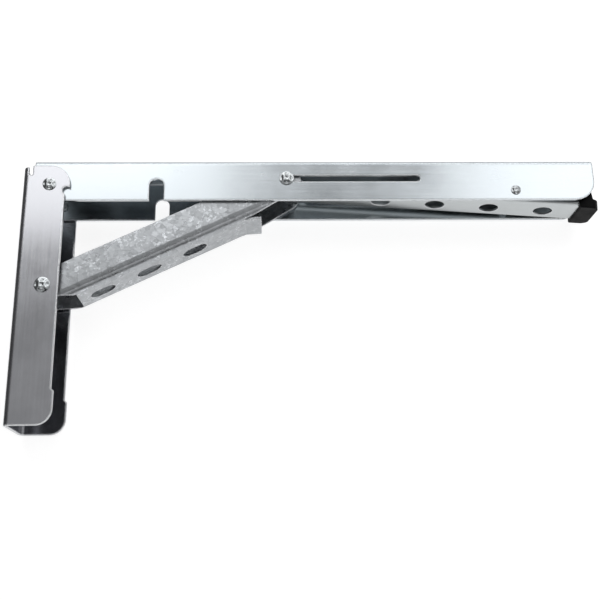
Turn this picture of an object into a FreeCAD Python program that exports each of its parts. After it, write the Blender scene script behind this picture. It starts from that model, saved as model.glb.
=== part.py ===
import FreeCAD, Part

import math
import os
import re

import Sketcher

# Folding bracket for a drop leaf table, drawn open, in millimetres.
# X runs out from the wall, Z up, and Y across the channels. The origin lies on the wall face,
# midway between the two wall screws.

doc = FreeCAD.newDocument("drop_leaf_bracket")
sizes = doc.addObject("Spreadsheet::Sheet", "Sizes")

# Driving dimensions: name, size, what it is.
DIMENSIONS = [
    ("arm_reach", 300, "wall face to the outer end of the table arm"),
    ("table_height", 80, "table face above the origin"),
    ("gauge", 1.5, "sheet thickness of both arms and the strut"),
    ("bend", 3, "outer bend radius of both arms and the strut"),
    ("table_width", 28, "table arm over its flanges"),
    ("table_depth", 23, "table arm over its web and flanges"),
    ("nose_radius", 10.8, "rounded lower corner at the outer end of the table arm"),
    ("side_gap", 0.3, "table arm to wall arm, each side"),
    ("wall_depth", 22, "wall arm over its web and flanges"),
    ("wall_drop", 140, "table face to the lower end of the wall arm"),
    ("wall_top_drop", 5, "table face to the top of the wall arm's web"),
    ("foot_bulge", 1.2, "how far the wall arm's foot stands past its flanges"),
    ("foot_height", 18, "height of the wall arm's foot"),
    ("foot_radius", 8, "rounded corner of the wall arm's foot"),
    ("hinge_setback", 14, "wall face to the hinge rivets"),
    ("hinge_drop", 14.5, "table face to the hinge rivets"),
    ("ear_radius", 10.5, "ear of the wall arm round the hinge rivet"),
    ("relief_drop", 3.5, "hinge rivets down to the round relief where the ear leaves the flange"),
    ("relief_radius", 2.2, "radius of that relief"),
    ("bend_relief", 2, "slit that frees the ear from the web's bend"),
    ("bend_relief_drop", 3.6, "depth of that slit below the web's top"),
    ("foot_spacing", 55, "hinge rivets down to the strut's foot pin"),
    ("wall_screw_pitch", 80, "between the two wall screws"),
    ("wall_screw_mid", -6, "height of the middle wall hole"),
    ("screw_hole", 5.5, "diameter of the screw holes"),
    ("slide_along", 122.8, "hinge rivets out to the slide rivets"),
    ("slide_drop", 10.6, "table face to the slide rivets"),
    ("slot_width", 3.6, "slot that the slide rivets run in"),
    ("slot_spare", 0.4, "length to spare at each end of the slot"),
    ("notch_width", 7.6, "notch in the table arm that clears the foot pin"),
    ("notch_spare", 1.1, "room between the notch's top and the foot spacer"),
    ("table_hole_end", 24.5, "outer end of the table arm back to the last hole of its row"),
    ("table_hole_pitch", 29.2, "pitch of that row"),
    ("table_hole_count", 5, "holes in that row"),
    ("rear_hole", 38, "wall face to the table arm's rear hole"),
    ("strut_gap", 0.4, "strut to table arm, each side"),
    ("strut_rise", 8, "strut's upper edge above its pin line"),
    ("strut_fall", 10.6, "strut's web face below its pin line"),
    ("strut_foot", 5.5, "radius of the strut's foot"),
    ("strut_web_start", 13, "foot pin to the strut's web"),
    ("strut_web_length", 94, "length of the strut's web"),
    ("strut_tip", 7.5, "radius of the strut's tip"),
    ("web_slot_first", 25.6, "foot pin to the first slot in the strut's web"),
    ("web_slot_pitch", 26, "pitch of those slots"),
    ("web_slot_count", 3, "slots in the strut's web"),
    ("web_slot_length", 13.5, "length of each slot"),
    ("web_slot_width", 8.6, "width of each slot"),
    ("tongue_length", 8.5, "tongue at the end of the strut's web"),
    ("tongue_inset", 2, "flange face to the tongue, each side"),
    ("tongue_angle", 21.5, "tongue's bend away from the web, in degrees"),
    ("lever_gap", 1.2, "release lever to strut, each side"),
    ("lever_gauge", 1.2, "sheet thickness of the release lever"),
    ("lever_bend", 2.4, "outer bend radius of the release lever"),
    ("lever_pivot_end", 42.3, "outer end of the table arm back to the lever's pin"),
    ("lever_pivot_drop", 17.6, "table face to the lever's pin"),
    ("lever_tilt", 3.8, "slope of the lever at rest, in degrees"),
    ("lever_fall", 4.9, "lever's web face below its pin"),
    ("lever_rise", 6, "lever's flanges above its pin"),
    ("latch_gap", 3.9, "slide rivets to the latch end of the lever"),
    ("lever_outer", 40, "pin to the grip end of the lever"),
    ("latch_rise", 1.4, "latch nose above the pin line of the lever"),
    ("latch_length", 3, "flat top of the latch nose"),
    ("latch_ramp", 5, "ramp behind the latch nose"),
    ("trough_low", 2.8, "lever's cut flange below its pin line, at the latch"),
    ("trough_high", 0.6, "lever's cut flange above its pin line, at the pin's end"),
    ("trough_end", 57, "pin to the end of the cut flange"),
    ("trough_slope", 8, "length of the rise from the cut flange to the full one"),
    ("lever_hole", 10.2, "access holes in the lever's web"),
    ("grip_start", 35, "lever's pin to the grip"),
    ("grip_length", 10.5, "length of the grip's pad"),
    ("grip_wall", 1.2, "grip's wall round the lever"),
    ("grip_pad", 5, "thickness of the grip's pad"),
    ("grip_block", 7, "length of the grip's block over the pad"),
    ("grip_rise", 7.4, "top of the grip above the lever's pin line"),
    ("grip_slant", 1.8, "how far the block's outer face leans in"),
    ("grip_round", 0.8, "rounding of the grip's edges"),
    ("grip_corner", 4.5, "rounded corners of the grip's outer end"),
    ("grip_fit", 0.05, "room between grip and lever"),
    ("hinge_shank", 2.5, "radius of the hinge rivets"),
    ("hinge_head", 3.5, "radius of their heads"),
    ("foot_shank", 2, "radius of the foot pin"),
    ("foot_head", 4, "radius of its heads"),
    ("foot_spacer", 2.6, "radius of the foot spacers"),
    ("slide_shank", 1.6, "radius of the slide rivets in the slot"),
    ("slide_head", 3.8, "radius of their heads"),
    ("tail_shank", 1.75, "radius of the strut's rivet tails"),
    ("tail_head", 3, "radius of their flattened ends"),
    ("tail_height", 0.8, "height of the flattened tails of the rivets"),
    ("lever_shank", 1.6, "radius of the lever's pin"),
    ("lever_head", 2.6, "radius of its heads"),
    ("lever_spacer", 3, "radius of the spacers on the lever's pin"),
    ("head_height", 1.3, "height of the rivet heads"),
    ("head_taper", 1.2, "how far the heads draw in from the rim to the crown"),
    ("running_fit", 0.05, "radial play of a turning pin"),
    ("end_play", 0.15, "play along a pin between moving pieces"),
    ("spring_wire", 0.9, "diameter of the lever's spring wire"),
    ("spring_bore", 2.2, "inner radius of the spring's turn round the pin"),
    ("spring_upper_leg", 20, "spring's leg to the table arm"),
    ("spring_lower_leg", 12, "spring's leg on the lever"),
]

for number, (name, size, meaning) in enumerate(DIMENSIONS, start=1):
    sizes.set(f"A{number}", name)
    sizes.set(f"B{number}", str(size))
    sizes.set(f"C{number}", meaning)
    sizes.setAlias(f"B{number}", name)
doc.recompute()
NAMES = {name for name, _, _ in DIMENSIONS}

# Sizes that several pieces share, worked out from the sheet.
WALL_INNER = "(table_width / 2 + side_gap)"
WALL_OUTER = "(table_width / 2 + side_gap + gauge)"
TABLE_OUTER = "(table_width / 2)"
TABLE_INNER = "(table_width / 2 - gauge)"
STRUT_OUTER = "(table_width / 2 - gauge - strut_gap)"
STRUT_INNER = "(table_width / 2 - 2 * gauge - strut_gap)"
LEVER_OUTER = "(table_width / 2 - 2 * gauge - strut_gap - lever_gap)"
HINGE_Z = "(table_height - hinge_drop)"
FOOT_Z = "(table_height - hinge_drop - foot_spacing)"
SLIDE_X = "(hinge_setback + slide_along)"
SLIDE_Z = "(table_height - slide_drop)"
PIN_RISE = "(hinge_drop - slide_drop)"
STRUT_LENGTH = f"sqrt(slide_along ^ 2 + (foot_spacing + {PIN_RISE}) ^ 2)"
STRUT_ANGLE = f"atan2(foot_spacing + {PIN_RISE}; slide_along)"
FOLDED_X = f"(hinge_setback + foot_spacing + sqrt({STRUT_LENGTH} ^ 2 - {PIN_RISE} ^ 2))"
WALL_LOW = "(table_height - wall_drop)"
TABLE_LOW = "(table_height - table_depth)"
TABLE_REAR = "(hinge_setback - table_depth + hinge_drop)"
STRUT_WEB_END = "(strut_web_start + strut_web_length)"
LEVER_X = "(arm_reach - lever_pivot_end)"
LEVER_Z = "(table_height - lever_pivot_drop)"
LEVER_LATCH = f"({LEVER_X} - {SLIDE_X} - latch_gap)"
TABLE_ROW = "(arm_reach - table_hole_end - (table_hole_count - 1) * table_hole_pitch)"
MARGIN = 2  # how far the cutting outlines reach past the stock


def bound(text):
    """The expression with each size's name pointed at the sheet."""
    return re.sub(r"[a-z_]+", lambda word: f"Sizes.{word[0]}" if word[0] in NAMES else word[0], str(text))


def value(text):
    """The number that an expression gives now."""
    number = sizes.evalExpression(bound(text))
    return float(getattr(number, "Value", number))


def body(label):
    """A new body with its own label."""
    piece = doc.addObject("PartDesign::Body", label)
    piece.Label = label
    return piece


def place(piece, x, y, z, turn=None):
    """Puts a piece at x, y, z, turned about Y."""
    piece.Placement.Rotation = FreeCAD.Rotation(FreeCAD.Vector(0, 1, 0), 0)
    for axis, text in zip("xyz", (x, y, z)):
        piece.setExpression(f"Placement.Base.{axis}", bound(text))
    if turn is not None:
        piece.setExpression("Placement.Rotation.Angle", bound(turn))


def sketch(piece, name, role, offset=None, lean=None):
    """A sketch on one of the body's own planes, moved along the plane's normal by offset, or turned
    about its own x axis by lean."""
    plane = next(f for f in piece.Origin.OriginFeatures if f.Role == role)
    made = piece.newObject("Sketcher::SketchObject", name)
    made.AttachmentSupport = [(plane, "")]
    made.MapMode = "FlatFace"
    if offset is not None:
        made.setExpression("AttachmentOffset.Base.z", bound(offset))
    if lean is not None:
        made.AttachmentOffset.Rotation = FreeCAD.Rotation(FreeCAD.Vector(1, 0, 0), 0)
        made.setExpression("AttachmentOffset.Rotation.Angle", bound(lean))
    return made


def hold(made, geometry, spot, x, y):
    """Dimensions one point of a sketch from the sketch's origin. None leaves a direction free."""
    for kind, text in (("DistanceX", x), ("DistanceY", y)):
        if text is not None:
            index = made.addConstraint(Sketcher.Constraint(kind, -1, 1, geometry, spot, value(text)))
            made.setExpression(f"Constraints[{index}]", bound(text))


def arc_centre(start, end, x, y):
    """The centre of an arc, on the perpendicular bisector of its ends, from one coordinate of it."""
    (ax, ay), (bx, by) = start, end
    middle_x, middle_y = (ax + bx) / 2, (ay + by) / 2
    if x is not None:
        return value(x), middle_y - (value(x) - middle_x) * (bx - ax) / (by - ay)
    return middle_x - (value(y) - middle_y) * (by - ay) / (bx - ax), value(y)


def outline(made, corners):
    """A closed outline, counterclockwise or not, through corners (x, y). A corner (x, y, about_x, about_y)
    is reached by an arc of at most half a turn whose centre has that x or y."""
    points = [(value(corner[0]), value(corner[1])) for corner in corners]
    ends = []
    for here, corner in enumerate(corners):
        start, end = points[here - 1], points[here]
        if len(corner) == 2:
            line = Part.LineSegment(FreeCAD.Vector(*start, 0), FreeCAD.Vector(*end, 0))
            ends.append((made.addGeometry(line, False), 1, 2))
            continue
        centre = arc_centre(start, end, *corner[2:])
        first = math.atan2(start[1] - centre[1], start[0] - centre[0])
        last = math.atan2(end[1] - centre[1], end[0] - centre[0])
        sweep = (last - first) % (2 * math.pi)
        backward = sweep > math.pi + 1e-6
        if backward:
            first, last = last, first
        circle = Part.Circle(FreeCAD.Vector(*centre, 0), FreeCAD.Vector(0, 0, 1), math.dist(start, centre))
        arc = made.addGeometry(Part.ArcOfCircle(circle, first, last), False)
        ends.append((arc, 2, 1) if backward else (arc, 1, 2))
        hold(made, arc, 3, *corner[2:])
    for here, corner in enumerate(corners):
        geometry, _, spot = ends[here]
        following, start_spot, _ = ends[(here + 1) % len(corners)]
        made.addConstraint(Sketcher.Constraint("Coincident", geometry, spot, following, start_spot))
        hold(made, geometry, spot, corner[0], corner[1])


def ring(made, x, y, radius):
    """A circle with its centre and radius dimensioned."""
    circle = Part.Circle(FreeCAD.Vector(value(x), value(y), 0), FreeCAD.Vector(0, 0, 1), value(radius))
    index = made.addGeometry(circle, False)
    hold(made, index, 3, x, y)
    constraint = made.addConstraint(Sketcher.Constraint("Radius", index, value(radius)))
    made.setExpression(f"Constraints[{constraint}]", bound(radius))


def channel(made, half, web, opening, depth, gauge, bend, sideways=False):
    """The section of a folded channel: half its width, the level of its web's outer face, the way it
    opens (1 up, -1 down), its depth, sheet thickness and outer bend radius. Sideways swaps the axes."""

    def level(rise):
        return f"{web} + {opening} * ({rise})"

    core = f"({half} - {bend})"
    inner = f"({half} - {gauge})"
    corners = [
        (half, level(bend)),
        (core, level(0), core, None),
        (f"-{core}", level(0)),
        (f"-{half}", level(bend), f"-{core}", None),
        (f"-{half}", level(depth)),
        (f"-{inner}", level(depth)),
        (f"-{inner}", level(bend)),
        (f"-{core}", level(gauge), f"-{core}", None),
        (core, level(gauge)),
        (inner, level(bend), core, None),
        (inner, level(depth)),
        (half, level(depth)),
    ]
    if sideways:
        corners = [(c[1], c[0]) + ((c[3], c[2]) if len(c) == 4 else ()) for c in corners]
    outline(made, corners)


def slot(made, start, end, middle, width):
    """A round-ended slot along the sketch's x axis between the centres of its ends."""
    low, high = f"{middle} - {width} / 2", f"{middle} + {width} / 2"
    outline(made, [(end, low), (end, high, end, None), (start, high), (start, low, start, None)])


def pad(piece, profile, length, both_ways=False):
    """Adds the profile's extrusion, along its normal or half each way."""
    made = piece.newObject("PartDesign::Pad", profile.Name + "_pad")
    made.Profile = profile
    made.Midplane = both_ways
    made.setExpression("Length", bound(length))
    doc.recompute()
    return made


def cut(piece, profile):
    """Cuts the profile right through the piece, both ways, and makes sure that it cut something."""
    before = piece.Shape.Volume
    made = piece.newObject("PartDesign::Pocket", profile.Name + "_cut")
    made.Profile = profile
    made.Type = "ThroughAll"
    made.Midplane = True
    doc.recompute()
    if not piece.Shape.Volume < before:
        raise RuntimeError(f"{profile.Name} cut nothing from {piece.Label}")
    return made


def turned(label, corners, x, z):
    """A body of revolution about Y, from corners (radius, y), standing at x, z."""
    piece = body(label)
    profile = sketch(piece, label + "_profile", "XY_Plane")
    outline(profile, corners)
    made = piece.newObject("PartDesign::Revolution", label + "_turn")
    made.Profile = profile
    made.ReferenceAxis = (profile, ["V_Axis"])
    made.Angle = 360
    place(piece, x, 0, z)
    doc.recompute()
    return piece


def head(seat, side, radius):
    """Corners of a low conical rivet head, from its rim at the seat to its crown at the axis."""
    crown = f"{seat} + {side} * head_height"
    return [
        (radius, seat),
        (f"{radius} - head_taper", crown),
        ("0", crown),
    ]


SIDES = (("left", -1), ("right", 1))


def wall_arm():
    """The channel that is screwed to the wall: ears at the hinge, a slightly deeper foot."""
    piece = body("wall_arm")
    section = sketch(piece, "wall_section", "XY_Plane", WALL_LOW)
    reach = "(hinge_setback + ear_radius)"
    top = f"({HINGE_Z} + ear_radius)"
    channel(section, WALL_OUTER, "0", 1, f"{reach} + {MARGIN}", "gauge", "bend", sideways=True)
    pad(piece, section, f"{top} - {WALL_LOW}")

    beyond = f"({reach} + 2 * {MARGIN})"
    shoulder = f"({HINGE_Z} - relief_drop)"
    ear_end = "(hinge_setback + sqrt(ear_radius ^ 2 - relief_drop ^ 2))"
    foot = "(wall_depth + foot_bulge)"
    edge = sketch(piece, "wall_flange_edge", "XZ_Plane")
    outline(edge, [
        ("wall_depth", f"{WALL_LOW} + foot_height"),
        (foot, f"{WALL_LOW} + foot_height - foot_bulge"),
        (foot, f"{WALL_LOW} + foot_radius"),
        (f"{foot} - foot_radius", WALL_LOW, f"{foot} - foot_radius", None),
        (f"{foot} - foot_radius", f"{WALL_LOW} - {MARGIN}"),
        (beyond, f"{WALL_LOW} - {MARGIN}"),
        (beyond, f"{top} + {MARGIN}"),
        ("hinge_setback", f"{top} + {MARGIN}"),
        ("hinge_setback", top),
        (reach, HINGE_Z, "hinge_setback", None),
        (ear_end, shoulder, "hinge_setback", None),
        ("wall_depth", shoulder),
    ])
    cut(piece, edge)

    web_top = "(table_height - wall_top_drop)"
    slit_low = f"({web_top} - bend_relief_drop)"
    relief = sketch(piece, "wall_reliefs", "XZ_Plane")
    ring(relief, f"(wall_depth + {ear_end}) / 2", shoulder, "relief_radius")
    outline(relief, [
        (f"-{MARGIN}", web_top),
        ("bend", web_top),
        ("bend", slit_low),
        ("bend + bend_relief", slit_low, None, slit_low),
        ("bend + bend_relief", f"{top} + {MARGIN}"),
        (f"-{MARGIN}", f"{top} + {MARGIN}"),
    ])
    cut(piece, relief)

    pivots = sketch(piece, "wall_rivet_holes", "XZ_Plane")
    ring(pivots, "hinge_setback", HINGE_Z, "hinge_shank")
    ring(pivots, "hinge_setback", FOOT_Z, "foot_shank")
    cut(piece, pivots)

    screws = sketch(piece, "wall_screw_holes", "YZ_Plane")
    for height in ("wall_screw_pitch / 2", "wall_screw_mid", "-wall_screw_pitch / 2"):
        ring(screws, "0", height, "screw_hole / 2")
    cut(piece, screws)
    return piece


def table_arm():
    """The channel under the table leaf: slots for the slide rivets, notches for the foot pin."""
    piece = body("table_arm")
    section = sketch(piece, "table_section", "YZ_Plane", TABLE_REAR)
    channel(section, TABLE_OUTER, "table_height", -1, "table_depth", "gauge", "bend")
    pad(piece, section, f"arm_reach - {TABLE_REAR}")

    below = f"({TABLE_LOW} - {MARGIN})"
    behind = f"({TABLE_REAR} - {MARGIN})"
    beyond = f"(arm_reach + {MARGIN})"
    flange = sketch(piece, "table_flange_edge", "XZ_Plane")
    outline(flange, [
        ("hinge_setback", TABLE_LOW),
        (TABLE_REAR, HINGE_Z, "hinge_setback", None),
        (behind, HINGE_Z),
        (behind, below),
        ("hinge_setback", below),
    ])
    outline(flange, [
        ("arm_reach - nose_radius", below),
        (beyond, below),
        (beyond, f"{TABLE_LOW} + nose_radius"),
        ("arm_reach", f"{TABLE_LOW} + nose_radius"),
        ("arm_reach - nose_radius", TABLE_LOW, "arm_reach - nose_radius", None),
    ])
    notch = "(hinge_setback + foot_spacing)"
    spring_line = f"({HINGE_Z} + foot_spacer + notch_spare - notch_width / 2)"
    outline(flange, [
        (f"{notch} - notch_width / 2", below),
        (f"{notch} + notch_width / 2", below),
        (f"{notch} + notch_width / 2", spring_line),
        (f"{notch} - notch_width / 2", spring_line, None, spring_line),
    ])
    slot(flange, f"{SLIDE_X} - slot_spare", f"{FOLDED_X} + slot_spare", SLIDE_Z, "slot_width")
    ring(flange, "hinge_setback", HINGE_Z, "hinge_shank + running_fit")
    ring(flange, LEVER_X, LEVER_Z, "lever_shank")
    cut(piece, flange)

    rear = sketch(piece, "table_rear_hole", "XY_Plane")
    ring(rear, "rear_hole", "0", "screw_hole / 2")
    cut(piece, rear)
    first = sketch(piece, "table_first_hole", "XY_Plane")
    ring(first, TABLE_ROW, "0", "screw_hole / 2")
    row(piece, cut(piece, first), "table_hole_row", "table_hole_pitch", "table_hole_count")
    return piece


def row(piece, feature, name, pitch, count):
    """Repeats a feature along the body's X axis."""
    axis = next(f for f in piece.Origin.OriginFeatures if f.Role == "X_Axis")
    made = piece.newObject("PartDesign::LinearPattern", name)
    made.Originals = [feature]
    made.Direction = (axis, [""])
    made.Mode = "Spacing"
    made.setExpression("Offset", bound(pitch))
    made.setExpression("Occurrences", bound(count))
    piece.Tip = made
    doc.recompute()
    return made


def strut():
    """The diagonal channel. Its own X axis is the line from the foot pin to the slide rivets."""
    piece = body("strut")
    place(piece, "hinge_setback", 0, FOOT_Z, f"-{STRUT_ANGLE}")
    low = "(-strut_fall)"
    section = sketch(piece, "strut_section", "YZ_Plane", "-strut_foot")
    channel(section, STRUT_OUTER, low, 1, "strut_fall + strut_rise", "gauge", "bend")
    pad(piece, section, f"{STRUT_LENGTH} + strut_foot + strut_tip")

    below = f"({low} - {MARGIN})"
    above = f"(strut_rise + {MARGIN})"
    behind = f"(-strut_foot - {MARGIN})"
    beyond = f"({STRUT_LENGTH} + strut_tip + {MARGIN})"
    ends = sketch(piece, "strut_ends", "XZ_Plane")
    outline(ends, [
        ("strut_web_start", above),
        (behind, above),
        (behind, below),
        ("strut_web_start", below),
        ("strut_web_start", low),
        ("0", "-strut_foot"),
        ("-strut_foot", "0", "0", None),
        ("0", "strut_foot", "0", None),
        ("strut_web_start", "strut_rise"),
    ])
    outline(ends, [
        (STRUT_WEB_END, low),
        (STRUT_WEB_END, below),
        (beyond, below),
        (beyond, above),
        (STRUT_WEB_END, above),
        (STRUT_WEB_END, "strut_rise"),
        (STRUT_LENGTH, "strut_tip"),
        (f"{STRUT_LENGTH} + strut_tip", "0", STRUT_LENGTH, None),
        (STRUT_LENGTH, "-strut_tip", STRUT_LENGTH, None),
    ])
    cut(piece, ends)

    web_ends = sketch(piece, "strut_web_ends", "XY_Plane")
    for near, far in ((behind, "strut_web_start"), (STRUT_WEB_END, beyond)):
        outline(web_ends, [
            (near, f"-{STRUT_INNER}"),
            (far, f"-{STRUT_INNER}"),
            (far, STRUT_INNER),
            (near, STRUT_INNER),
        ])
    cut(piece, web_ends)

    tongue = sketch(piece, "strut_tongue", "XZ_Plane")
    out = "tongue_length * cos(tongue_angle * 1 deg)"
    drop = "tongue_length * sin(tongue_angle * 1 deg)"
    outline(tongue, [
        (f"{STRUT_WEB_END} - gauge", low),
        (STRUT_WEB_END, low),
        (f"{STRUT_WEB_END} + {out}", f"{low} - {drop}"),
        (f"{STRUT_WEB_END} + {out} + gauge * sin(tongue_angle * 1 deg)",
         f"{low} - {drop} + gauge * cos(tongue_angle * 1 deg)"),
        (f"{STRUT_WEB_END} + gauge * tan(tongue_angle * 0.5 deg)", f"{low} + gauge"),
        (f"{STRUT_WEB_END} - gauge", f"{low} + gauge"),
    ])
    pad(piece, tongue, f"2 * ({STRUT_OUTER} - tongue_inset)", both_ways=True)

    pivots = sketch(piece, "strut_rivet_holes", "XZ_Plane")
    ring(pivots, "0", "0", "foot_shank + running_fit")
    ring(pivots, STRUT_LENGTH, "0", "tail_shank")
    cut(piece, pivots)

    first = sketch(piece, "strut_web_slot", "XY_Plane")
    half = "(web_slot_length - web_slot_width) / 2"
    slot(first, f"web_slot_first - {half}", f"web_slot_first + {half}", "0", "web_slot_width")
    row(piece, cut(piece, first), "strut_web_slots", "web_slot_pitch", "web_slot_count")
    return piece


def release_lever():
    """The long lever inside the table arm. Its own X axis runs along its web from its pin."""
    piece = body("release_lever")
    place(piece, LEVER_X, 0, LEVER_Z, "lever_tilt * 1 deg")
    section = sketch(piece, "lever_section", "YZ_Plane", f"-{LEVER_LATCH}")
    channel(section, LEVER_OUTER, "(-lever_fall)", 1, "lever_fall + lever_rise", "lever_gauge", "lever_bend")
    pad(piece, section, f"{LEVER_LATCH} + lever_outer")

    above = f"(lever_rise + {MARGIN})"
    latch_back = f"(latch_length - {LEVER_LATCH})"
    edge = sketch(piece, "lever_flange_edge", "XZ_Plane")
    outline(edge, [
        (f"-{LEVER_LATCH} - {MARGIN}", "latch_rise"),
        (latch_back, "latch_rise"),
        (f"{latch_back} + latch_ramp", "-trough_low"),
        ("-trough_end", "trough_high"),
        ("trough_slope - trough_end", "lever_rise"),
        ("trough_slope - trough_end", above),
        (f"-{LEVER_LATCH} - {MARGIN}", above),
    ])
    ring(edge, "0", "0", "lever_shank + running_fit")
    cut(piece, edge)

    lean = "cos(lever_tilt * 1 deg)"
    first = sketch(piece, "lever_access_hole", "XY_Plane")
    ring(first, f"({TABLE_ROW} + table_hole_pitch - {LEVER_X}) / {lean}", "0", "lever_hole / 2")
    row(piece, cut(piece, first), "lever_access_holes", f"table_hole_pitch / {lean}", "table_hole_count - 1")
    return piece


def lever_grip():
    """The moulded grip pushed over the lever's outer end: a thumb pad and a block above it."""
    piece = body("lever_grip")
    place(piece, LEVER_X, 0, LEVER_Z, "lever_tilt * 1 deg")
    low = "(-lever_fall - grip_wall)"
    side = sketch(piece, "grip_side", "XZ_Plane")
    outline(side, [
        ("grip_start", low),
        ("grip_start + grip_length", low),
        ("grip_start + grip_length", f"{low} + grip_pad"),
        ("grip_start + grip_block", f"{low} + grip_pad"),
        ("grip_start + grip_block - grip_slant", "grip_rise"),
        ("grip_start", "grip_rise"),
    ])
    block = pad(piece, side, f"2 * ({LEVER_OUTER} + grip_wall)", both_ways=True)

    outer = [
        f"Edge{number}" for number, edge in enumerate(piece.Shape.Edges, start=1)
        if edge.BoundBox.YLength > value(LEVER_OUTER)
    ]
    rounded = piece.newObject("PartDesign::Fillet", "grip_edges")
    rounded.Base = (block, outer)
    rounded.setExpression("Radius", bound("grip_round"))
    doc.recompute()

    end = "(grip_start + grip_length)"
    half = f"({LEVER_OUTER} + grip_wall)"
    corners = sketch(piece, "grip_corners", "XY_Plane")
    for side in (-1, 1):
        outline(corners, [
            (end, f"{side} * ({half} - grip_corner)"),
            (f"{end} - grip_corner", f"{side} * {half}", f"{end} - grip_corner", None),
            (f"{end} - grip_corner", f"{side} * ({half} + {MARGIN})"),
            (f"{end} + {MARGIN}", f"{side} * ({half} + {MARGIN})"),
            (f"{end} + {MARGIN}", f"{side} * ({half} - grip_corner)"),
        ])
    cut(piece, corners)

    socket = sketch(piece, "grip_socket", "YZ_Plane", "lever_outer + grip_fit")
    channel(socket, f"({LEVER_OUTER} + grip_fit)", "(-lever_fall - grip_fit)", 1,
            "lever_fall + lever_rise + 2 * grip_fit", "(lever_gauge + 2 * grip_fit)",
            "(lever_bend + grip_fit)")
    before = piece.Shape.Volume
    made = piece.newObject("PartDesign::Pocket", "grip_socket_cut")
    made.Profile = socket
    made.setExpression("Length", bound(f"lever_outer + grip_fit - grip_start + {MARGIN}"))
    doc.recompute()
    if not piece.Shape.Volume < before:
        raise RuntimeError("the grip's socket cut nothing")


def hinge_rivets():
    """A short rivet each side joins the wall arm's ear to the table arm."""
    for name, side in SIDES:
        seat = f"{side} * {WALL_OUTER}"
        tail = f"{side} * ({TABLE_INNER} - end_play)"
        turned(f"hinge_rivet_{name}", head(seat, side, "hinge_head") + [
            ("0", f"{tail} - {side} * tail_height"),
            ("hinge_head", f"{tail} - {side} * tail_height"),
            ("hinge_head", tail),
            ("hinge_shank", tail),
            ("hinge_shank", seat),
        ], "hinge_setback", HINGE_Z)


def foot_pin():
    """One long pin carries the strut's foot between the wall arm's flanges, with a spacer each side."""
    near, far = f"-1 * {WALL_OUTER}", WALL_OUTER
    turned("strut_foot_pin", head(near, -1, "foot_head")
           + head(far, 1, "foot_head")[::-1]
           + [("foot_shank", far), ("foot_shank", near)], "hinge_setback", FOOT_Z)
    for name, side in SIDES:
        outer = f"{side} * {WALL_INNER}"
        inner = f"{side} * ({STRUT_OUTER} + end_play)"
        turned(f"foot_spacer_{name}", [
            ("foot_shank", inner),
            ("foot_spacer", inner),
            ("foot_spacer", outer),
            ("foot_shank", outer),
        ], "hinge_setback", FOOT_Z)


def slide_rivets():
    """The rivets that run in the table arm's slots, and their flattened tails inside the strut."""
    for name, side in SIDES:
        seat = f"{side} * ({TABLE_OUTER} + end_play)"
        inner = f"{side} * ({STRUT_OUTER} + end_play)"
        turned(f"slide_rivet_{name}", head(seat, side, "slide_head") + [
            ("0", inner),
            ("slide_shank", inner),
            ("slide_shank", seat),
        ], SLIDE_X, SLIDE_Z)
        tail = f"{side} * {STRUT_INNER}"
        end = f"{side} * ({STRUT_INNER} - tail_height)"
        turned(f"strut_rivet_tail_{name}", [
            ("0", f"{side} * {STRUT_OUTER}"),
            ("tail_shank", f"{side} * {STRUT_OUTER}"),
            ("tail_shank", tail),
            ("tail_head", tail),
            ("tail_head", end),
            ("0", end),
        ], SLIDE_X, SLIDE_Z)


def lever_pin():
    """The lever's pin across the table arm, with a spacer each side of the lever."""
    near, far = f"-1 * {TABLE_OUTER}", TABLE_OUTER
    turned("lever_pin", head(near, -1, "lever_head")
           + head(far, 1, "lever_head")[::-1]
           + [("lever_shank", far), ("lever_shank", near)], LEVER_X, LEVER_Z)
    for name, side in SIDES:
        outer = f"{side} * {TABLE_INNER}"
        inner = f"{side} * ({LEVER_OUTER} + end_play)"
        turned(f"lever_spacer_{name}", [
            ("lever_shank", inner),
            ("lever_spacer", inner),
            ("lever_spacer", outer),
            ("lever_shank", outer),
        ], LEVER_X, LEVER_Z)


def wire_section(made, height):
    """The spring wire's section, drawn with eight sides, its centre at that height."""
    turns = [f"{22.5 + 45 * side} deg" for side in range(8)]
    outline(made, [
        (f"spring_wire / 2 * cos({turn})", f"{height} + spring_wire / 2 * sin({turn})")
        for turn in turns
    ])


def lever_spring():
    """A wire spring bent round the lever's pin. Its upper leg bears on the table arm's web and its lower
    leg on the lever's, and they push the two apart. Its own X axis runs along the upper leg."""
    wire = "(spring_wire / 2)"
    radius = "(spring_bore + spring_wire / 2)"
    headroom = f"(lever_pivot_drop - gauge - end_play - {wire})"
    climb = f"(asin({headroom} / hypot({radius}; spring_upper_leg)) - atan2({radius}; spring_upper_leg))"
    spread = f"({climb} + lever_tilt * 1 deg)"
    piece = body("lever_spring")
    place(piece, LEVER_X, 0, LEVER_Z, f"-{climb}")
    upper = sketch(piece, "spring_upper", "YZ_Plane")
    wire_section(upper, radius)
    pad(piece, upper, "spring_upper_leg")
    turn = piece.newObject("PartDesign::Revolution", "spring_turn")
    turn.Profile = upper
    turn.ReferenceAxis = (upper, ["H_Axis"])
    turn.Reversed = True
    turn.setExpression("Angle", bound(f"180 deg - {spread}"))
    lower = sketch(piece, "spring_lower", "YZ_Plane", lean=spread)
    wire_section(lower, f"-{radius}")
    pad(piece, lower, "spring_lower_leg")


wall_arm()
table_arm()
strut()
release_lever()
lever_grip()
hinge_rivets()
foot_pin()
slide_rivets()
lever_pin()
lever_spring()
doc.recompute()

sub_parts = [item for item in doc.Objects if item.TypeId == "PartDesign::Body"]
for item in doc.Objects:
    if "Invalid" in item.State or "Error" in item.State:
        raise RuntimeError(f"{item.Label} failed to rebuild")
for item in sub_parts:
    if item.Shape.isNull() or not item.Shape.isValid() or not item.Shape.Solids:
        raise RuntimeError(f"{item.Label} has no valid solid")

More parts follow.
